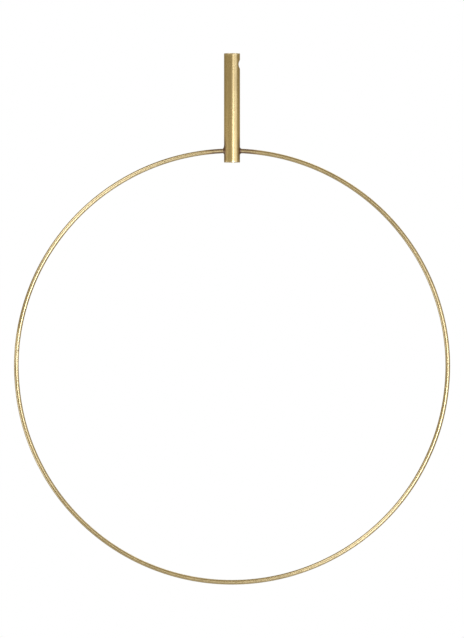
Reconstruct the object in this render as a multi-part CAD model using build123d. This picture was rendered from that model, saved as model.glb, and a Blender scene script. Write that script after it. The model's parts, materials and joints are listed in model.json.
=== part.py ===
from build123d import *

import math
import os

# Wreath frame: a round brass hoop held by a short upright hanger tube.
#
# The frame hangs in the XZ plane with +Z up and its front towards -Y. The origin is the
# centre of the hanger tube's top opening. Sizes are millimetres and angles are degrees.
#
# The hoop starts as a closed ring of round rod, rolled and butt welded. It is sawn open
# at the top, and the two sawn ends are pushed into holes drilled through the tube's wall
# and brazed there. So the finished hoop is two lengths of rod, joined at the weld: a long
# one that leaves the tube on its right and passes the bottom, and a short one that comes
# up the left side. Neither rod reaches the tube's bore, which stays clear from end to end.

# ---- Driving dimensions ----
hoop_outer_diameter = 300.0
rod_diameter = 3.2

tube_outer_diameter = 11.0
tube_wall = 0.8
tube_length = 75.0
rim_round = 0.2  # radius on the inner and outer edges of both tube ends

rod_above_foot = 8.0  # top of the hoop's centreline above the tube's lower end
rod_hole_clearance = 0.1  # radial room for filler between the rod and its hole
rod_end_setback = 0.1  # from each sawn rod end to the tube's bore

hang_hole_diameter = 6.0
hang_hole_drop = 7.5  # hole's centre below the tube's top end

right_braze_leg = 1.0  # how far the filler climbs the tube, and runs out along the rod
left_braze_leg = 1.3  # the left joint took more filler
braze_lip = 0.15  # the filler's thickness at its outer edges

weld_rise = 5.0  # degrees from the hoop's leftmost point up to the butt weld
weld_width = 1.6  # measured along the rod
weld_crown = 0.1  # how far the dressed weld still stands above the rod

# ---- Values that follow ----
rod_radius = rod_diameter / 2
tube_radius = tube_outer_diameter / 2
bore_radius = tube_radius - tube_wall
hang_hole_radius = hang_hole_diameter / 2
rod_hole_radius = rod_radius + rod_hole_clearance
rod_end_x = bore_radius + rod_end_setback

hoop_radius = hoop_outer_diameter / 2 - rod_radius  # to the rod's centreline
hoop_top_z = rod_above_foot - tube_length
hoop_centre_z = hoop_top_z - hoop_radius
hoop_axis = Axis((0, 0, hoop_centre_z), (0, -1, 0))  # angles run from +X towards +Z

full_turn = 360
rod_end_angle = math.degrees(math.acos(rod_end_x / hoop_radius))
weld_angle = full_turn / 2 - weld_rise
weld_half_angle = math.degrees(weld_width / 2 / hoop_radius)


def upright_bar(radius):
    """A round bar as long as the tube, below the origin, with its seam at the back."""
    below_origin = (Align.CENTER, Align.CENTER, Align.MAX)
    return Cylinder(radius, tube_length, rotation=(0, 0, 90), align=below_origin)


def hoop_height(x):
    """Z of the hoop's centreline near its top, at the distance x from the tube's axis."""
    return hoop_centre_z + math.sqrt(hoop_radius**2 - x**2)


def drill_along_x(radius, z, length, from_axis):
    """A cylinder along X at the height z, centred on the tube's axis or starting there."""
    along_its_length = Align.MIN if from_axis else Align.CENTER
    plane = Plane((0, 0, z), x_dir=(0, 1, 0), z_dir=(1, 0, 0))
    return plane * Cylinder(radius, length, align=(Align.CENTER, Align.CENTER, along_its_length))


def rod_arc(first_angle, last_angle, section_radius):
    """Round rod bent to the hoop's circle between two angles, cut square at both ends."""
    angle = math.radians(first_angle)
    outward = Vector(math.cos(angle), 0, math.sin(angle))
    along = Vector(-math.sin(angle), 0, math.cos(angle))
    centre = Vector(0, 0, hoop_centre_z) + outward * hoop_radius
    section = Plane(centre, x_dir=outward, z_dir=along) * Circle(section_radius)
    return revolve(section, hoop_axis, last_angle - first_angle)


def make_hanger_tube():
    """Tube open at both ends, drilled for the two rod ends and for the hanging hook."""
    tube = upright_bar(tube_radius) - upright_bar(bore_radius)
    tube = fillet(tube.edges().filter_by(GeomType.CIRCLE), rim_round)

    # The rod holes are drilled straight through, level with the rod at mid-wall.
    rod_hole_z = hoop_height(tube_radius - tube_wall / 2)
    both_walls = 2 * tube_outer_diameter
    tube -= drill_along_x(rod_hole_radius, rod_hole_z, both_walls, from_axis=False)

    # The hanging hole goes through the right wall only.
    right_wall = tube_outer_diameter
    tube -= drill_along_x(hang_hole_radius, -hang_hole_drop, right_wall, from_axis=True)
    return tube


def make_right_braze(leg, tube, long_rod):
    """Filler round the rod on the tube's right: a bevelled collar, and the hole's gap.

    The collar is where a thicker rod and a thicker tube would cross, one leg larger in
    radius than the real ones. Its outer corner is bevelled, and then the drilled tube,
    its bore and the rod are taken away from it.
    """
    reach_angle = math.degrees(2 * (tube_radius + leg) / hoop_radius)
    thick_rod = rod_arc(full_turn / 4 - reach_angle, full_turn / 4, rod_radius + leg)
    collar = thick_rod & upright_bar(tube_radius + leg)
    outer_corner = collar.edges().filter_by(GeomType.BSPLINE)
    collar = chamfer(outer_corner, leg - braze_lip)
    return collar - tube - upright_bar(bore_radius) - long_rod


def make_parts():
    """Every piece of the frame by name."""
    tube = make_hanger_tube()
    weld_start = weld_angle - weld_half_angle
    weld_end = weld_angle + weld_half_angle
    long_rod = rod_arc(weld_end - full_turn, rod_end_angle, rod_radius)
    short_rod = rod_arc(full_turn / 2 - rod_end_angle, weld_start, rod_radius)
    weld = rod_arc(weld_start, weld_end, rod_radius + weld_crown)
    right_braze = make_right_braze(right_braze_leg, tube, long_rod)
    # The tube and the hoop are the same on both sides of the joint, so the left filler
    # is made like the right one, with its own leg, and mirrored across.
    left_braze = make_right_braze(left_braze_leg, tube, long_rod)
    left_braze = mirror(left_braze, about=Plane.YZ)
    return {
        "hanger_tube": tube,
        "hoop_long_rod": long_rod,
        "hoop_short_rod": short_rod,
        "hoop_butt_weld": weld,
        "braze_right": right_braze,
        "braze_left": left_braze,
    }


os.makedirs("parts", exist_ok=True)
for node, shape in make_parts().items():
    export_step(shape, f"parts/{node}.step")
    print(f"{node}: {len(shape.solids())} solid, {shape.volume:.2f} cubic mm")
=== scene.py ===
# %% [markdown]
# # A wreath frame in satin brass
#
# A florist ties greenery round a thin brass hoop and hangs it by the short tube at the
# top. There are only six pieces: a tube, two lengths of rod that make the hoop, the weld
# that closed it, and the filler metal that brazes the hoop to the tube. With so few,
# all the interest is in how light runs over round brass, so each piece is a smooth
# surface worked out from a formula, and each has a finish of its own.
#
# The CAD model gives the sizes and places. It is loaded first and never changed.

# %% Load the CAD model
import json
import math

import bmesh
import bpy
import numpy as np
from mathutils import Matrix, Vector


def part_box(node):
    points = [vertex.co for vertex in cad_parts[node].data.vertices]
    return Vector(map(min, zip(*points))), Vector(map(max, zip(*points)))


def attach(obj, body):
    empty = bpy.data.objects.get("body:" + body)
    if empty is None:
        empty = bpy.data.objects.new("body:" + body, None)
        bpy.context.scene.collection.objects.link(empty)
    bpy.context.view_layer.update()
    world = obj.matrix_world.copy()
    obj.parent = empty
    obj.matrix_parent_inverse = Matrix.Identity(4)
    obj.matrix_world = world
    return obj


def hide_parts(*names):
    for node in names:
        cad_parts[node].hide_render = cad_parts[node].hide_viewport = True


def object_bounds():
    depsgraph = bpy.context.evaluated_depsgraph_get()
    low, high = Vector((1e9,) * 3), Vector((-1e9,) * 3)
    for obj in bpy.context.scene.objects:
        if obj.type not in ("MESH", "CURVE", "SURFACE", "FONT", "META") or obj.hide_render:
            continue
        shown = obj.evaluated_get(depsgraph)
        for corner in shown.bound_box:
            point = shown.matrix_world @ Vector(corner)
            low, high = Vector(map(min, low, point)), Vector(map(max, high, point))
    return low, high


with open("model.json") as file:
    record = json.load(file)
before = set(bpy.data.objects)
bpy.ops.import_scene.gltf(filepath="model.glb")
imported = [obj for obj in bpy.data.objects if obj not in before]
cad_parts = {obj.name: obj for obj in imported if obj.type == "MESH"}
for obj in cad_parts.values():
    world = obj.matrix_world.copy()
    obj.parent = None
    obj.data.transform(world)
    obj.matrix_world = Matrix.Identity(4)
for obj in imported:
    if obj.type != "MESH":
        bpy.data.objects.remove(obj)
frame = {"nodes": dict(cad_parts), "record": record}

cad_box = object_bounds()
print("CAD box, mm:", [[round(1000 * v, 2) for v in corner] for corner in cad_box])

# %% [markdown]
# ## Sizes read from the CAD model
#
# Nothing is measured twice. The boxes of the CAD nodes give the outer sizes, and the
# record's mounts give the two bores and the hoop's centre, which no box can show.

# %% Sizes
mounts = {mount["name"]: mount for mount in frame["record"]["mounts"]}
MM = 0.001

tube_low, tube_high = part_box("hanger_tube")
tube_radius = (tube_high.x - tube_low.x) / 2
tube_top = tube_high.z
tube_foot = tube_low.z
bore_radius = mounts["tube_bore"]["dims"]["r_mm"] * MM
hang_hole_radius = mounts["hang_hole"]["dims"]["r_mm"] * MM
hang_hole_z = mounts["hang_hole"]["pos_m"][2]

rod_low, rod_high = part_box("hoop_long_rod")
rod_radius = (rod_high.y - rod_low.y) / 2
hoop_centre_z = mounts["wreath_hoop"]["pos_m"][2]
hoop_radius = hoop_centre_z - rod_low.z - rod_radius  # to the rod's centreline

weld_low, weld_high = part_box("hoop_butt_weld")
weld_centre = (weld_low + weld_high) / 2
weld_angle = math.atan2(weld_centre.z - hoop_centre_z, weld_centre.x)
weld_half_width = 0.8 * MM  # measured along the rod
rod_end_setback = 0.1 * MM  # from each sawn rod end to the tube's bore
hole_clearance = 0.1 * MM  # room for filler round the rod in its hole
rod_end_x = bore_radius + rod_end_setback
rod_hole_radius = rod_radius + hole_clearance


def hoop_height(x):
    """Z of the hoop's centreline near the tube, at a distance x from the tube's axis."""
    return hoop_centre_z + np.sqrt(hoop_radius**2 - x**2)


joint_z = float(hoop_height((tube_radius + bore_radius) / 2))
print(f"tube {2000 * tube_radius:.2f} mm across, bore {2000 * bore_radius:.2f} mm")
print(f"hoop {1000 * hoop_radius:.2f} mm in radius, rod {2000 * rod_radius:.2f} mm thick")
print(f"weld at {math.degrees(weld_angle):.2f} degrees")

# %% [markdown]
# ## How every surface is made
#
# A surface here is a grid of points: a function of two numbers, worked out for the whole
# grid at once. Neighbouring points make four-sided faces. Where two edges of a grid fall
# on the same place, a weld by distance closes the seam, and a row that shrinks to one
# point closes into a pole. After that a piece is one closed skin, like the real thing,
# and its volume can be measured and compared with the CAD solid's.


# %% From a grid to faces
def grid_faces(rows, columns, closed_rows=False, closed_columns=False):
    """Four corner numbers for each face of a grid: a point, the next in its row, and the
    same two in the row after. A closed direction runs on from its last point to its first."""
    row = np.arange(rows if closed_rows else rows - 1)[:, None]
    column = np.arange(columns if closed_columns else columns - 1)[None, :]
    next_row = (row + 1) % rows
    next_column = (column + 1) % columns
    corners = (
        row * columns + column,
        row * columns + next_column,
        next_row * columns + next_column,
        next_row * columns + column,
    )
    return np.stack(np.broadcast_arrays(*corners), axis=-1)


def as_points(x, y, z):
    """Three arrays of coordinates as one grid of points."""
    return np.stack(np.broadcast_arrays(x, y, z), axis=-1)


# %% From grids to a closed piece
MERGE_DISTANCE = 0.2e-6  # points closer than this, in metres, become one


def closed_skin(mesh):
    """The mesh with its doubled points merged, ready to be measured or mended."""
    skin = bmesh.new()
    skin.from_mesh(mesh)
    bmesh.ops.remove_doubles(skin, verts=skin.verts, dist=MERGE_DISTANCE)
    return skin


def add_piece(name, node, grids, sharp_angle=40):
    """One welded, closed, outward-facing mesh from a list of (points, faces, straight).

    points is rows x columns x 3, faces is any set of corner numbers into it, and straight
    is None or three more numbers for each point, kept as an attribute for the finish.
    The piece stands for the CAD node and rides on the root body.
    """
    vertices = np.concatenate([points.reshape(-1, 3) for points, faces, straight in grids])
    counts = [points.size // 3 for points, faces, straight in grids]
    starts = np.concatenate([[0], np.cumsum(counts)[:-1]])
    corners = [faces.reshape(-1, 4) + start for (points, faces, straight), start in zip(grids, starts)]
    corners = np.concatenate(corners)

    mesh = bpy.data.meshes.new(name)
    mesh.vertices.add(len(vertices))
    mesh.vertices.foreach_set("co", vertices.ravel())
    mesh.loops.add(corners.size)
    mesh.loops.foreach_set("vertex_index", corners.ravel())
    mesh.polygons.add(len(corners))
    mesh.polygons.foreach_set("loop_start", np.arange(0, corners.size, 4))
    mesh.update(calc_edges=True)
    if grids[0][2] is not None:
        straight = np.concatenate([straight.reshape(-1, 3) for points, faces, straight in grids])
        kept = mesh.attributes.new("straight", "FLOAT_VECTOR", "POINT")
        kept.data.foreach_set("vector", straight.ravel())

    skin = closed_skin(mesh)
    bmesh.ops.dissolve_degenerate(skin, edges=skin.edges, dist=MERGE_DISTANCE)
    bmesh.ops.recalc_face_normals(skin, faces=skin.faces)
    open_edges = sum(1 for edge in skin.edges if len(edge.link_faces) != 2)
    volume = skin.calc_volume(signed=True)
    skin.to_mesh(mesh)
    skin.free()
    mesh.shade_smooth()
    mesh.set_sharp_from_angle(angle=math.radians(sharp_angle))

    piece = bpy.data.objects.new(name, mesh)
    bpy.context.scene.collection.objects.link(piece)
    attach(piece, "root")
    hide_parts(node)

    solid = closed_skin(frame["nodes"][node].data)
    cad_volume = abs(solid.calc_volume())
    solid.free()
    print(f"{name}: {len(mesh.polygons)} faces, {open_edges} open edges, "
          f"{volume * 1e9:.1f} cubic mm, CAD {cad_volume * 1e9:.1f}")
    return piece


def quarter_turn(steps):
    """Sine and cosine of evenly spaced angles from 0 to 90 degrees."""
    angle = np.linspace(0, math.pi / 2, steps)
    return np.sin(angle), np.cos(angle)


# %% [markdown]
# ## The hanger tube
#
# The real one is a short length of drawn brass tube, sawn square, with the burrs taken
# off its rims so that they shine as thin bright lines. Its wall is swept round the axis:
# down the outside, round the foot, up the bore and over the top.
#
# The holes are the hard part. Each one begins as a four-sided gap in the grid, left open
# in the outer wall and in the bore alike. A sleeve then fills it: another grid whose
# rows start on the gap's outline outside, draw in to the hole's circle, turn over a small
# worn edge, pass through the wall and spread out again to the gap in the bore. Every
# point of it lies on the tube's own cylinder, so no dent shows round the hole.


# %% The gaps in the wall's grid
columns = 144
column_angle = 2 * math.pi / columns
first_angle = -math.pi / 2  # the seam is at the front, away from the holes

rim_round = 0.2 * MM
gap_rows = 22
hang_gap = {"side": 1, "z": hang_hole_z, "radius": hang_hole_radius, "half_columns": 22,
            "half_height": 4.2 * MM}
rod_gaps = [{"side": side, "z": joint_z, "radius": rod_hole_radius, "half_columns": 13,
             "half_height": 2.7 * MM} for side in (1, -1)]
plain_row = 1.5 * MM  # the height of a row between the gaps
least_rows = 4
foot_rows = 6


def tube_rows():
    """Heights of the outer wall's rows from the top down, close together at the holes,
    and the row number at which each gap starts."""
    pieces = []
    starts = []
    above = tube_top - rim_round
    for gap in (hang_gap, rod_gaps[0]):
        top = gap["z"] + gap["half_height"]
        row_count = max(least_rows, int((above - top) / plain_row))
        pieces.append(np.linspace(above, top, row_count, endpoint=False))
        starts.append(sum(len(piece) for piece in pieces))
        pieces.append(np.linspace(top, gap["z"] - gap["half_height"], gap_rows, endpoint=False))
        above = gap["z"] - gap["half_height"]
    pieces.append(np.linspace(above, tube_foot + rim_round, foot_rows))
    return np.concatenate(pieces), starts


# %% The wall
rim_steps = 6  # points on each rounded edge of a rim


def tube_wall():
    """The wall as a closed profile (radius and height) turned round the tube's axis."""
    heights, starts = tube_rows()
    sine, cosine = quarter_turn(rim_steps)
    sine = sine[1:-1]
    cosine = cosine[1:-1]
    outer_turn = tube_radius - rim_round + rim_round * cosine
    inner_turn = bore_radius + rim_round - rim_round * sine
    foot_outer = tube_foot + rim_round - rim_round * sine
    foot_inner = tube_foot + rim_round - rim_round * cosine
    flat = np.array([tube_radius - rim_round, bore_radius + rim_round])
    radii = np.concatenate([
        np.full(len(heights), tube_radius), outer_turn, flat, inner_turn,
        np.full(len(heights), bore_radius), inner_turn[::-1], flat[::-1], outer_turn[::-1],
    ])
    levels = np.concatenate([
        heights, foot_outer, np.full(2, tube_foot), foot_inner,
        heights[::-1], tube_top + tube_foot - foot_inner[::-1],
        np.full(2, tube_top), tube_top + tube_foot - foot_outer[::-1],
    ])
    angle = first_angle + column_angle * np.arange(columns)
    points = as_points(
        radii[:, None] * np.cos(angle),
        radii[:, None] * np.sin(angle),
        levels[:, None],
    )
    faces = grid_faces(len(radii), columns, closed_rows=True, closed_columns=True)

    keep = np.ones(faces.shape[:2], bool)
    bore_start = len(heights) + 2 * len(sine) + 2
    for gap, start in ((hang_gap, starts[0]), (rod_gaps[0], starts[1]), (rod_gaps[1], starts[1])):
        middle = columns // 4 if gap["side"] > 0 else 3 * columns // 4
        across = slice(middle - gap["half_columns"], middle + gap["half_columns"])
        bore_end = bore_start + len(heights) - 1 - start
        keep[start : start + gap_rows, across] = False
        keep[bore_end - gap_rows : bore_end, across] = False
    return points, faces[keep], None


# %% The sleeves in its holes
edge_round = 0.15 * MM
edge_steps = 5
spread_rows = 9  # between a gap's outline and its circle


def hole_sleeve(gap):
    """Rows from the gap's outline outside, through the hole, to its outline in the bore.

    Round the gap, each outline point has a direction from the hole's centre. A row is
    that outline moved part of the way to the circle along those directions, and its X
    is the tube's own: the square root of radius squared less Y squared.
    """
    turn = column_angle * np.arange(-gap["half_columns"], gap["half_columns"])
    top = gap["z"] + gap["half_height"]
    drop = np.linspace(top, 2 * gap["z"] - top, gap_rows, endpoint=False)
    turns = np.concatenate([
        turn, np.full(gap_rows, -turn[0]), -turn, np.full(gap_rows, turn[0]),
    ])
    levels = np.concatenate([
        np.full(len(turn), top), drop, np.full(len(turn), drop[0] - 2 * gap["half_height"]),
        2 * gap["z"] - drop,
    ])
    outline = {radius: np.stack([radius * np.sin(turns), levels - gap["z"]])
               for radius in (tube_radius, bore_radius)}
    direction = outline[tube_radius] / np.linalg.norm(outline[tube_radius], axis=0)
    circle = (gap["radius"] + edge_round) * direction

    sine, cosine = quarter_turn(edge_steps)
    rows = []
    for wall_radius, inward in ((tube_radius, 1), (bore_radius, -1)):
        flat = [(1 - t) * outline[wall_radius] + t * circle for t in np.linspace(0, 1, spread_rows)]
        depths = [0] * len(flat)
        for s, c in zip(sine[1:], cosine[1:]):
            flat.append((gap["radius"] + edge_round * (1 - s)) * direction)
            depths.append(edge_round * (1 - c))
        wall = [np.stack([
            gap["side"] * (np.sqrt(wall_radius**2 - y**2) - inward * depth), y, z + gap["z"],
        ], axis=-1) for (y, z), depth in zip(flat, depths)]
        rows += wall[::inward]
    points = np.stack(rows)
    return points, grid_faces(*points.shape[:2], closed_columns=True), None


# %% The tube put together
tube = add_piece(
    "satin_hanger_tube", "hanger_tube",
    [tube_wall(), hole_sleeve(hang_gap), hole_sleeve(rod_gaps[0]), hole_sleeve(rod_gaps[1])],
)

# %% [markdown]
# ## The rods
#
# Drawn brass rod is rolled into a hoop and butt welded, then sawn open at the top, where
# its two ends go into the tube. Each rod is a circle swept along its arc, with flat ends
# that shrink to a pole. A rolled hoop is never perfect: the rod wanders by a few
# hundredths of a millimetre, which makes the light on it waver a little.
#
# Close to the weld the metal was rubbed down with a file and still holds small pits,
# most of them on the hoop's inside, which is hard to reach. They are real hollows in the
# surface, so the rows are closer together there.


# %% Pits and file marks
columns_round = 64
round_turn = 2 * math.pi * np.arange(columns_round) / columns_round  # 0 faces out of the hoop
flat_depth = 0.008 * MM  # of the marks that the file left
flat_reach = 5 * MM

pit_maker = np.random.default_rng(29)
pit_count = 34
pit_along = pit_maker.uniform(-7.5, 7.5, pit_count) * MM
inside = math.pi * np.where(pit_maker.random(pit_count) < 0.65, 1.2, 0.85)  # beside the inner edge
anywhere = pit_maker.uniform(0, 2 * math.pi, pit_count)
pit_round = np.where(pit_maker.random(pit_count) < 0.72, pit_maker.normal(inside, 0.24), anywhere)
pit_size = pit_maker.uniform(0.14, 0.38, pit_count) * MM
pit_depth = pit_size * pit_maker.uniform(0.35, 0.6, pit_count)


def worn_radius(along_weld):
    """Radius of the dressed rod, a row for each distance along from the weld: the rod's,
    less a round Gaussian hollow for every pit, and less shallow file flats near the weld."""
    along_weld = along_weld[:, None]
    radius = rod_radius + np.zeros((len(along_weld), columns_round))
    for along, angle, size, depth in zip(pit_along, pit_round, pit_size, pit_depth):
        across = rod_radius * np.angle(np.exp(1j * (round_turn - angle)))
        distance = ((along_weld - along) ** 2 + across**2) / size**2
        radius -= depth * np.exp(-distance)
    near = np.exp(-((along_weld / flat_reach) ** 2))
    radius -= flat_depth * near * (1 + np.sin(5 * round_turn + along_weld / (1.7 * MM)))
    return radius


print(f"{pit_count} pits, up to {1000 * pit_depth.max():.2f} mm deep")

# %% A bar along the hoop
waver_size = 0.05 * MM  # how far the rolled rod wanders from a true circle
coarse_step = math.radians(0.5)
fine_reach = 12 * MM  # how far from the weld the rows stay close together
fine_rows = 110


def swept_rod(angles, radii, straight_start):
    """A round bar along the hoop's circle. The first number is the angle along the hoop and
    the second the turn about the rod: centre + radius x (cosine outward + sine across).
    The circle's own radius wavers by the sum of a slow and a fast sine, less near the tube.
    The straight copy keeps the length along the rod and the same two legs."""
    waver = np.sin(7 * angles + 1) + 0.6 * np.sin(17 * angles)
    waver = waver_size * waver * np.cos(angles) ** 2
    outward = (hoop_radius + waver)[:, None] + radii * np.cos(round_turn)
    points = as_points(
        outward * np.cos(angles)[:, None],
        radii * np.sin(round_turn),
        hoop_centre_z + outward * np.sin(angles)[:, None],
    )
    along = np.abs(angles - straight_start)[:, None] * hoop_radius
    straight = as_points(along, radii * np.cos(round_turn), radii * np.sin(round_turn))
    return points, grid_faces(len(angles), columns_round, closed_columns=True), straight


def rod_grid(tube_angle, weld_end_angle):
    """A rod from the tube to the weld: coarse rows, then fine ones, and two flat ends whose
    rows shrink to a pole. The row's distance from the weld decides how worn it is."""
    side = np.sign(tube_angle - weld_end_angle)
    fine = side * fine_reach / hoop_radius
    coarse_count = int(abs(tube_angle - weld_end_angle - fine) / coarse_step)
    angles = np.concatenate([
        np.full(3, tube_angle),
        np.linspace(tube_angle, weld_end_angle + fine, coarse_count),
        np.linspace(weld_end_angle + fine, weld_end_angle, fine_rows)[1:],
        np.full(2, weld_end_angle),
    ])
    shrink = np.ones(len(angles))
    shrink[:3] = (0, 0.6, 0.96)
    shrink[-2:] = (0.6, 0)
    along_weld = side * (np.abs(angles - weld_end_angle) * hoop_radius + weld_half_width)
    return swept_rod(angles, worn_radius(along_weld) * shrink[:, None], tube_angle)


# %% The two rods
tube_angle = math.acos(rod_end_x / hoop_radius)
weld_reach = weld_half_width / hoop_radius
long_rod = add_piece(
    "drawn_long_rod", "hoop_long_rod",
    [rod_grid(tube_angle, weld_angle + weld_reach - 2 * math.pi)],
)
short_rod = add_piece(
    "drawn_short_rod", "hoop_short_rod",
    [rod_grid(math.pi - tube_angle, weld_angle - weld_reach)],
)

# %% [markdown]
# ## The butt weld
#
# The melted seam was dressed with a file until it was nearly flush. What is left is a low
# uneven swelling with pits in it. It is swept like the rods, over a millimetre and a
# half, and its radius rises and falls with a smooth bump that is zero at both ends.


# %% Weld
weld_crown = 0.1 * MM  # how far it stands above the rod
weld_rows = 41


def weld_grid():
    """The weld's radius: the worn rod's, plus a crown shaped like a squared cosine along
    the rod, uneven round it."""
    share = np.concatenate([[-1, -1], np.linspace(-1, 1, weld_rows), [1, 1]])
    along = weld_half_width * share
    hill = np.cos(math.pi / 2 * share) ** 2
    uneven = 0.75 + 0.25 * np.sin(2 * round_turn + 1)
    radii = worn_radius(along) + weld_crown * hill[:, None] * uneven
    radii[[0, -1]] = 0
    radii[[1, -2]] *= 0.6
    return swept_rod(weld_angle + along / hoop_radius, radii, weld_angle)


weld = add_piece("dressed_weld", "hoop_butt_weld", [weld_grid()])

# %% [markdown]
# ## The brazed joints
#
# Molten filler wets both pieces of metal and creeps into the corner between them. It
# freezes as a hollow curve, steep where it climbs the tube and thin where it runs out on
# the rod. Each joint is a closed ring round the rod. At every turn, its section is a curve
# from the rod to the tube, then the thin film in the hole, back to the rod.
#
# The left joint took more filler, and it stayed above the rod, so that side is taller.


# %% Filler rings
turns_round = 96
curve_points = 25
corner = 0.16  # how far the middle control stands out of the corner, as a share of each leg
sunk = 0.04 * MM  # how far the filler reaches into the tube and the rod, to leave no gap


def braze_ring(side, above, beside, below, along_rod, seed):
    """A ring of filler. The first number runs round the section and the second is the turn
    about the rod, 0 above it. The climb up the tube blends between its values above,
    beside and below, and both legs swell and shrink a little at random places.

    The open face is a curve through three controls: out on the rod, near the corner,
    and up on the tube. Weights (1-t)^2, 2t(1-t) and t^2 blend them."""
    lump_maker = np.random.default_rng(seed)
    turn = 2 * math.pi * np.arange(turns_round) / turns_round
    lumps = sum(
        size * np.cos(order * turn + lump_maker.uniform(0, 2 * math.pi))
        for order, size in ((2, 0.05), (3, 0.08), (5, 0.06), (8, 0.03))
    )
    upward = np.cos(turn)
    climb = np.where(upward > 0, above, below) * upward**2 + beside * (1 - upward**2)
    climb = climb * (1 + lumps)
    reach = along_rod * (1 + np.roll(lumps, 31)) * (0.8 + 0.2 * climb / above)

    t = np.linspace(0, 1, curve_points)[:, None]
    height = 2 * t * (1 - t) * corner * climb + t**2 * climb
    stand_off = (1 - t) ** 2 * reach + 2 * t * (1 - t) * corner * reach
    film = hole_clearance
    inside_height = np.stack([climb * 0.98, climb * 0.5 + film, film + 0 * climb])
    inside_off = np.full(inside_height.shape, -sunk)

    height = np.concatenate([height, inside_height])
    stand_off = np.concatenate([stand_off, inside_off])
    y = (rod_radius + height) * np.sin(turn)
    x = np.sqrt(tube_radius**2 - y**2) + stand_off

    # The film: out along the hole's wall nearly to the bore, and back inside the rod.
    wall = tube_radius - bore_radius
    film_height = np.array([film, film, 0.02 * MM, -sunk, -sunk, -sunk])[:, None]
    film_y = (rod_radius + film_height) * np.sin(turn)
    depth = np.array([0.5, 0.97, 0.97, 0.9, 0.5, 0.0])[:, None] * wall
    film_x = np.sqrt(tube_radius**2 - film_y**2) - depth
    height = np.concatenate([height, np.broadcast_to(film_height, film_x.shape)])
    y = np.concatenate([y, film_y])
    x = np.concatenate([x, film_x])
    z = hoop_height(x) + (rod_radius + height) * np.cos(turn)
    points = as_points(side * x, y, z)
    return points, grid_faces(*points.shape[:2], closed_rows=True, closed_columns=True), None


right_braze = add_piece(
    "right_filler", "braze_right",
    [braze_ring(1, 1.3 * MM, 1.0 * MM, 1.2 * MM, 1.1 * MM, seed=5)],
)
left_braze = add_piece(
    "left_filler", "braze_left",
    [braze_ring(-1, 2.7 * MM, 1.3 * MM, 0.8 * MM, 1.0 * MM, seed=11)],
)

# %% [markdown]
# ## Painting with nodes
#
# A finish here is colour, gloss and a shallow relief, all worked out from where a point
# is on the piece. A few helpers keep each recipe short enough to read.


# %% Node helpers
LACQUER_IOR = 2.1


class Recipe:
    """A new node material and short ways to add the nodes that paint it."""

    def __init__(self, name):
        self.material = bpy.data.materials.new(name)
        self.material.use_nodes = True
        self.nodes = self.material.node_tree.nodes
        self.links = self.material.node_tree.links
        self.shader = self.nodes["Principled BSDF"]
        self.place = self.nodes.new("ShaderNodeTexCoord").outputs["Object"]

    def add(self, kind, inputs, output=0, **settings):
        """A node with its settings and inputs: each a socket to link or a constant."""
        node = self.nodes.new(kind)
        for key, value in settings.items():
            setattr(node, key, value)
        for key, value in inputs.items():
            if isinstance(value, bpy.types.NodeSocket):
                self.links.new(value, node.inputs[key])
            else:
                node.inputs[key].default_value = value
        return node.outputs[output]

    def math(self, operation, *values):
        """One sum, product or other operation on numbers."""
        return self.add("ShaderNodeMath", dict(enumerate(values)), operation=operation)

    def split(self, vector):
        """The three numbers of a place, each on its own."""
        return self.add("ShaderNodeSeparateXYZ", {"Vector": vector}).node.outputs

    def length(self, x, y, z):
        """The length of an arrow with these three legs: the root of their squares' sum."""
        arrow = self.add("ShaderNodeCombineXYZ", {"X": x, "Y": y, "Z": z})
        return self.add("ShaderNodeVectorMath", {0: arrow}, "Value", operation="LENGTH")

    def stretched(self, vector, stretch):
        """A place with each of its three numbers multiplied, to stretch a pattern."""
        return self.add("ShaderNodeVectorMath", {0: vector, 1: stretch}, operation="MULTIPLY")

    def noise(self, vector, stretch, detail=2.0, roughness=0.5):
        """Soft random values from 0 to 1, with that many changes to the metre each way."""
        inputs = {"Vector": self.stretched(vector, stretch), "Scale": 1.0,
                  "Detail": detail, "Roughness": roughness}
        return self.add("ShaderNodeTexNoise", inputs, 0)

    def fade(self, value, start, end, low=0.0, high=1.0):
        """A smooth change from low to high as value goes from start to end."""
        inputs = {"Value": value, "From Min": start, "From Max": end, "To Min": low, "To Max": high}
        return self.add("ShaderNodeMapRange", inputs, interpolation_type="SMOOTHSTEP")

    def blend(self, amount, first, second):
        """A colour between two, by the amount."""
        node = self.nodes.new("ShaderNodeMix")
        node.data_type = "RGBA"
        for key, value in ((0, amount), (6, first), (7, second)):
            if isinstance(value, bpy.types.NodeSocket):
                self.links.new(value, node.inputs[key])
            else:
                node.inputs[key].default_value = value
        return node.outputs[2]

    def relief(self, height, distance, below=None):
        """A shallow relief in the surface, that many metres deep."""
        inputs = {"Height": height, "Distance": distance, "Strength": 1.0}
        if below is not None:
            inputs["Normal"] = below
        return self.add("ShaderNodeBump", inputs)

    def hollow(self, straight):
        """How deep a point lies below the round rod: 0 on its surface, 1 in a pit."""
        _, outward, across = self.split(straight)
        radius = self.length(0.0, outward, across)
        return self.fade(radius, rod_radius - 0.04 * MM, rod_radius - 0.11 * MM)

    def finish(self, pieces, colour, roughness, normal=None, metal=1.0, coat=1.0,
               coat_roughness=0.25):
        """Links the paint to the shader and puts the material on the pieces. The coat is
        the clear lacquer, and its high bending of light gives the creamy glare."""
        self.links.new(colour, self.shader.inputs["Base Color"])
        self.links.new(roughness, self.shader.inputs["Roughness"])
        if normal is not None:
            self.links.new(normal, self.shader.inputs["Normal"])
        self.shader.inputs["Metallic"].default_value = metal
        self.shader.inputs["Coat Weight"].default_value = coat
        self.shader.inputs["Coat IOR"].default_value = LACQUER_IOR
        self.shader.inputs["Coat Roughness"].default_value = coat_roughness
        for piece in pieces:
            piece.data.materials.clear()
            piece.data.materials.append(self.material)
        print(f"{self.material.name}: {len(self.nodes)} nodes")


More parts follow.
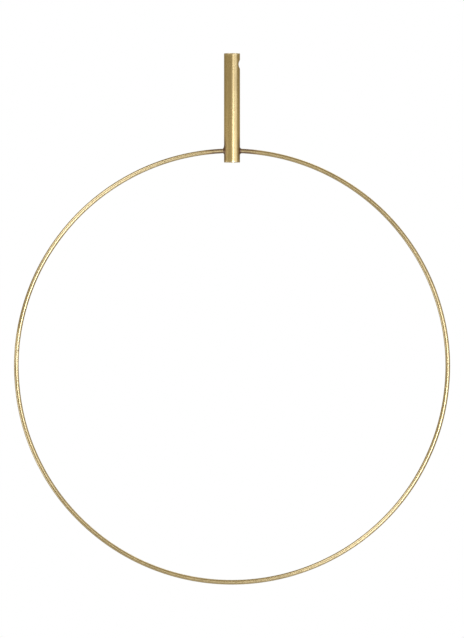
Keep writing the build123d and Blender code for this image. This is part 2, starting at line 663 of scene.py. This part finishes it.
# %% The metal's colours, as shares of red, green and blue light given back
BRASS = (0.80, 0.585, 0.25, 1.0)
# Darker brass on the tube: for uneven aging, and for painted shade towards its top.
AGED_AND_SHADED_BRASS = (0.58, 0.415, 0.16, 1.0)
# Pale worn brass: a painted highlight on the tube's rims, and partly painted light beside the weld.
WORN_BRASS_AND_HIGHLIGHT = (0.92, 0.74, 0.42, 1.0)
ROD_BRASS = (0.80, 0.60, 0.28, 1.0)
AGED_ROD_BRASS = (0.57, 0.42, 0.185, 1.0)
STRAW = (0.60, 0.33, 0.09, 1.0)
TORCH_BROWN = (0.20, 0.10, 0.045, 1.0)
BORE_BROWN = (0.30, 0.20, 0.09, 1.0)
PIT_BROWN = (0.12, 0.075, 0.04, 1.0)
FILLER_BROWN = (0.24, 0.13, 0.06, 1.0)
DARK_FILLER = (0.15, 0.075, 0.04, 1.0)
OXIDE = (0.09, 0.05, 0.03, 1.0)

# %% [markdown]
# ## Satin brass on the tube
#
# The tube was turned against a fine abrasive, so hair lines run round it. Under its clear
# lacquer the brass has aged unevenly in blotches and specks. It is painted browner towards
# the top and fresher near the foot, which is painted shade, and lighter along the rims, which
# is a painted highlight. The torch left brown rings of heat colour round the joints; kept to
# the tube's flanks, they are partly painted shade.


# %% Tube finish
recipe = Recipe("satin_brass")
x, y, z = recipe.split(recipe.place)

hair_lines = recipe.noise(recipe.place, (120, 120, 9000), detail=3)
fine_lines = recipe.noise(recipe.place, (40, 40, 2200), detail=2)
cloud = recipe.noise(recipe.place, (160, 160, 90), detail=4, roughness=0.6)
specks = recipe.noise(recipe.place, (900, 900, 700), detail=3)

# Browner towards the top and fresher near the foot: painted shade, as if less light reached the upper
# tube. The cloud and specks add uneven aging.
darkening = recipe.fade(z, tube_foot - 5 * MM, tube_top - 5 * MM, -0.3, 0.9)
darkening = recipe.math("ADD", darkening, recipe.fade(cloud, 0.35, 0.65, -0.18, 0.18))
darkening = recipe.math("ADD", darkening, recipe.fade(specks, 0.4, 0.62, -0.06, 0.08))
darkening = recipe.math("MINIMUM", recipe.math("MAXIMUM", darkening, 0.0), 1.0)
colour = recipe.blend(darkening, BRASS, AGED_AND_SHADED_BRASS)

# Heat colour, by the distance from either joint.
side_x = recipe.math("SUBTRACT", recipe.math("ABSOLUTE", x), tube_radius)
drop = recipe.math("MULTIPLY", recipe.math("SUBTRACT", z, joint_z), 0.75)
joint_distance = recipe.length(side_x, y, drop)
ragged = recipe.math("MULTIPLY", cloud, 3.0 * MM)
joint_distance = recipe.math("ADD", joint_distance, ragged)
# Kept off the front and back, the heat colour stays on the flanks: painted shade along the tube's
# edges, on top of the real heat colour.
shaded_flank = recipe.fade(recipe.math("ABSOLUTE", y), 0.85 * tube_radius, 0.35 * tube_radius)
straw = recipe.math("MULTIPLY", recipe.fade(joint_distance, 13 * MM, 5.5 * MM, 0, 0.85), shaded_flank)
brown = recipe.math("MULTIPLY", recipe.fade(joint_distance, 10.5 * MM, 4.5 * MM, 0, 0.95), shaded_flank)
colour = recipe.blend(straw, colour, STRAW)
colour = recipe.blend(brown, colour, TORCH_BROWN)

# Lighter towards both rims: a painted highlight.
below_top = recipe.math("SUBTRACT", tube_top, z)
above_foot = recipe.math("SUBTRACT", z, tube_foot)
rim_gap = recipe.math("MINIMUM", below_top, above_foot)
painted_rim_highlight = recipe.fade(rim_gap, 2.4 * MM, 0.1 * MM, 0, 0.45)
colour = recipe.blend(painted_rim_highlight, colour, WORN_BRASS_AND_HIGHLIGHT)

# Darker brown and rougher inside the bore.
axis_distance = recipe.length(x, y, 0.0)
in_bore = recipe.fade(axis_distance, bore_radius + 0.25 * MM, bore_radius + 0.05 * MM)
colour = recipe.blend(in_bore, colour, BORE_BROWN)

roughness = recipe.fade(hair_lines, 0.3, 0.7, 0.28, 0.31)
roughness = recipe.math("ADD", roughness, recipe.fade(cloud, 0.3, 0.7, -0.02, 0.02))
roughness = recipe.math("ADD", roughness, recipe.math("MULTIPLY", in_bore, 0.2))
roughness = recipe.math("ADD", roughness, recipe.fade(joint_distance, 8 * MM, 4 * MM, 0, 0.12))
normal = recipe.relief(hair_lines, 0.0012 * MM)
normal = recipe.relief(fine_lines, 0.004 * MM, normal)
recipe.finish([tube], colour, roughness, normal)

# %% [markdown]
# ## Drawn brass on the rods
#
# Drawing a rod through a die leaves fine lines along it. The sweep stored a straight copy
# of each rod (the length along it, and the place across it) so the lines can follow the
# bend. The heat colour fades with the distance from the tube, and the filed metal with
# the distance from the weld, both with a ragged edge that a soft random pattern gives.
# The heat colour is kept to the rod's upper and lower edges, which is partly painted
# shade, and the filed metal's lighter colour is partly painted light.


# %% Rod finish
recipe = Recipe("drawn_brass")
straight = recipe.add("ShaderNodeAttribute", {}, "Vector", attribute_name="straight")
draw_lines = recipe.noise(straight, (25, 3000, 3000), detail=2)
cloud = recipe.noise(recipe.place, (70, 70, 70), detail=4, roughness=0.6)
specks = recipe.noise(recipe.place, (1100, 1100, 1100), detail=2)
along, _, across = recipe.split(straight)

darkening = recipe.fade(cloud, 0.3, 0.7, 0.6, 1.1)
darkening = recipe.math("ADD", darkening, recipe.fade(specks, 0.45, 0.65, 0.0, 0.08))
colour = recipe.blend(darkening, ROD_BRASS, AGED_ROD_BRASS)

# Heat colour near the tube, kept off where the rod faces forward or back: real heat colour, with
# painted shade on the rod's upper and lower edges.
ragged = recipe.math("MULTIPLY", cloud, 6 * MM)
heat = recipe.math("ADD", along, ragged)
front = recipe.math("ABSOLUTE", across)
shaded_edge = recipe.fade(front, rod_radius, 0.88 * rod_radius)
straw = recipe.math("MULTIPLY", recipe.fade(heat, 22 * MM, 10 * MM, 0, 0.85), shaded_edge)
brown = recipe.math("MULTIPLY", recipe.fade(heat, 18 * MM, 9 * MM, 0, 0.95), shaded_edge)
colour = recipe.blend(straw, colour, STRAW)
colour = recipe.blend(brown, colour, TORCH_BROWN)
roughness = recipe.fade(draw_lines, 0.3, 0.7, 0.31, 0.325)
normal = recipe.relief(draw_lines, 0.0004 * MM)

# Filed duller beside the weld, with oxide left in the pits. Its lighter colour is partly filed metal
# and partly painted light.
two_places = {0: recipe.place, 1: tuple(weld_centre)}
weld_distance = recipe.add("ShaderNodeVectorMath", two_places, "Value", operation="DISTANCE")
filed_and_lit = recipe.fade(recipe.math("ADD", weld_distance, ragged), 20 * MM, 8 * MM)
strokes = recipe.noise(straight, (4200, 900, 900), detail=2)
normal = recipe.relief(recipe.math("MULTIPLY", strokes, filed_and_lit), 0.0006 * MM, normal)
colour = recipe.blend(recipe.math("MULTIPLY", filed_and_lit, 0.7), colour, WORN_BRASS_AND_HIGHLIGHT)
pitted = recipe.hollow(straight)
roughness = recipe.math("ADD", roughness, recipe.math("MULTIPLY", filed_and_lit, 0.15))
roughness = recipe.math("ADD", roughness, recipe.math("MULTIPLY", pitted, 0.3))
colour = recipe.blend(pitted, colour, PIT_BROWN)
recipe.finish([long_rod, short_rod], colour, roughness, normal, coat_roughness=0.3)

# %% [markdown]
# ## The dressed weld
#
# File strokes cross the weld at a slant, and dirt and oxide stay in the hollows.

# %% Weld finish
recipe = Recipe("dressed_brass")
straight = recipe.add("ShaderNodeAttribute", {}, "Vector", attribute_name="straight")
strokes = recipe.noise(straight, (5200, 700, 700), detail=2)
blotches = recipe.noise(recipe.place, (900, 900, 900), detail=3)
colour = recipe.blend(recipe.fade(blotches, 0.4, 0.65, 0, 0.3), WORN_BRASS_AND_HIGHLIGHT, STRAW)
pitted = recipe.hollow(straight)
colour = recipe.blend(pitted, colour, PIT_BROWN)
roughness = recipe.fade(strokes, 0.3, 0.7, 0.45, 0.48)
roughness = recipe.math("ADD", roughness, recipe.math("MULTIPLY", pitted, 0.3))
normal = recipe.relief(strokes, 0.0008 * MM)
recipe.finish([weld], colour, roughness, normal)

# %% [markdown]
# ## Heat-stained filler
#
# The filler was left as it froze: brown and reddish with oxide, brighter where the metal
# shows through, with a skin of fine ripples.

# %% Filler finish
recipe = Recipe("heat_stained_filler")
blotches = recipe.noise(recipe.place, (700, 700, 700), detail=4, roughness=0.6)
ripples = recipe.noise(recipe.place, (2600, 2600, 2600), detail=3)
colour = recipe.blend(recipe.fade(blotches, 0.35, 0.55), FILLER_BROWN, DARK_FILLER)
colour = recipe.blend(recipe.fade(blotches, 0.55, 0.70, 0, 0.8), colour, OXIDE)
roughness = recipe.fade(blotches, 0.35, 0.65, 0.32, 0.55)
normal = recipe.relief(ripples, 0.02 * MM)
recipe.finish([right_braze, left_braze], colour, roughness, normal, coat=0.5)

# %% [markdown]
# ## The camera
#
# Seen from close by, a hoop turns into an oval and a tube shows its ends. A long lens far
# away, level and square on, keeps the hoop a true circle and the tube's ends flat lines.
# The distance follows from the lens: the view's height over its distance is the same as
# the sensor's over the lens's length.


# %% Camera
scene = bpy.context.scene
middle = (cad_box[0] + cad_box[1]) / 2
camera_data = bpy.data.cameras.new("level_camera")
camera_data.lens = 400
camera_data.sensor_width = 36
camera = bpy.data.objects.new("level_camera", camera_data)
scene.collection.objects.link(camera)
view_height = 438.9 * MM  # how much of the frame's plane fits in the view, top to bottom
camera_distance = view_height * camera_data.lens / camera_data.sensor_width
camera.location = (0, -camera_distance, middle.z)
camera.rotation_euler = (math.pi / 2, 0, 0)
camera_data.clip_end = 100
scene.camera = camera
print(f"camera {camera_distance:.3f} m in front of the tube's axis")


# %% [markdown]
# ## The lights
#
# Polished metal shows its lights more than itself. A round tube shows each soft box as
# one upright band, and a hoop shows it twice, on opposite sides, where the rod lies
# across the line to the box. So one box, a little right of the camera and below it,
# makes the main bright band, and the weaker ones fill in the hoop from other sides. All
# are placed by two angles round the frame's middle, which are easy to think about.


# %% Lights
box_distance = 2.0  # metres
DAYLIGHT = (0.92, 1.0, 1.1)  # a little cooler than the room


def soft_box(name, azimuth, elevation, width, height, power):
    """A rectangle of light that faces the frame's middle. Azimuth 0 is at the camera, and
    grows to the right; elevation is above the level. Both are degrees. The width and the
    height are metres and the power is watts."""
    turn = math.radians(azimuth)
    rise = math.radians(elevation)
    direction = Vector((
        math.sin(turn) * math.cos(rise), -math.cos(turn) * math.cos(rise), math.sin(rise),
    ))
    light = bpy.data.lights.new(name, "AREA")
    light.shape = "RECTANGLE"
    light.size = width
    light.size_y = height
    light.energy = power
    light.color = DAYLIGHT
    box = bpy.data.objects.new(name, light)
    box.location = middle + box_distance * direction
    box.rotation_mode = "QUATERNION"
    box.rotation_quaternion = direction.to_track_quat("Z", "Y")
    box.visible_camera = False
    scene.collection.objects.link(box)
    print(f"{name}: {power} W over {width * height:.2f} square metres")


soft_box("main_soft_box", 19.8, -7.5, 0.74, 0.5, 13.2)
soft_box("low_right_soft_box", 35, -38, 0.6, 0.6, 4.3)
soft_box("right_soft_box", 60, 0, 1.3, 1.0, 3.0)
soft_box("high_right_soft_box", 45, 20, 1.0, 1.0, 2.0)
soft_box("high_left_soft_box", -38, 37, 1.5, 1.0, 11.9)
soft_box("low_left_soft_box", -80, -20, 1.2, 1.2, 7.2)
soft_box("back_soft_box", 150, 45, 1.4, 1.4, 7.0)

# %% [markdown]
# ## The room
#
# Between the bright bands the brass shows the room it stands in. A white room would leave
# it pale and flat, so the one that it feels is dim and warm. The camera sees another one,
# plain white: a light path node tells the rays that come straight from the camera from
# those that left a piece of metal.

# %% Room
WARM_GREY = (0.355, 0.311, 0.190, 1)
WHITE = (1, 1, 1, 1)

world = bpy.data.worlds.new("pale_room")
world.use_nodes = True
nodes = world.node_tree.nodes
links = world.node_tree.links
nodes.clear()
seen = nodes.new("ShaderNodeBackground")
seen.inputs["Color"].default_value = WHITE
felt = nodes.new("ShaderNodeBackground")
felt.inputs["Color"].default_value = WARM_GREY
rays = nodes.new("ShaderNodeLightPath")
choose = nodes.new("ShaderNodeMixShader")
output = nodes.new("ShaderNodeOutputWorld")
links.new(rays.outputs["Is Camera Ray"], choose.inputs[0])
links.new(felt.outputs[0], choose.inputs[1])
links.new(seen.outputs[0], choose.inputs[2])
links.new(choose.outputs[0], output.inputs["Surface"])
scene.world = world
scene.view_settings.view_transform = "Standard"
scene.view_settings.look = "None"
print("room felt as", WARM_GREY[:3])

# %% [markdown]
# ## The floor
#
# The floor is a wide pale disc, low enough to leave the low lights free. A dim room would
# turn it olive, so it glows a little by itself, for the camera only, which brings it back
# to a plain pale grey without lighting the brass from below. Its underside is clear, so
# the frame can also be looked at from underneath.

# %% Floor mesh
floor_drop = 1.4  # metres below the frame's middle
floor_radius = 14
floor_corners = 96

floor_mesh = bpy.data.meshes.new("pale_floor")
skin = bmesh.new()
bmesh.ops.create_circle(skin, cap_ends=True, segments=floor_corners, radius=floor_radius)
skin.to_mesh(floor_mesh)
skin.free()
floor = bpy.data.objects.new("pale_floor", floor_mesh)
floor.location = (0, 0, middle.z - floor_drop)
scene.collection.objects.link(floor)

# %% Floor finish
recipe = Recipe("pale_floor")
grain = recipe.noise(recipe.place, (6, 6, 6), detail=3)
colour = recipe.blend(grain, (0.80, 0.80, 0.79, 1), (0.84, 0.84, 0.83, 1))
roughness = recipe.fade(grain, 0, 1, 0.8, 0.9)
recipe.finish([floor], colour, roughness, metal=0.0, coat=0.0)

rays = recipe.nodes.new("ShaderNodeLightPath")
recipe.shader.inputs["Emission Color"].default_value = (0.52, 0.55, 0.63, 1)
recipe.links.new(rays.outputs["Is Camera Ray"], recipe.shader.inputs["Emission Strength"])

underside = recipe.nodes.new("ShaderNodeNewGeometry")
clear = recipe.nodes.new("ShaderNodeBsdfTransparent")
one_sided = recipe.nodes.new("ShaderNodeMixShader")
recipe.links.new(underside.outputs["Backfacing"], one_sided.inputs[0])
recipe.links.new(recipe.shader.outputs[0], one_sided.inputs[1])
recipe.links.new(clear.outputs[0], one_sided.inputs[2])
recipe.links.new(one_sided.outputs[0], recipe.nodes["Material Output"].inputs["Surface"])
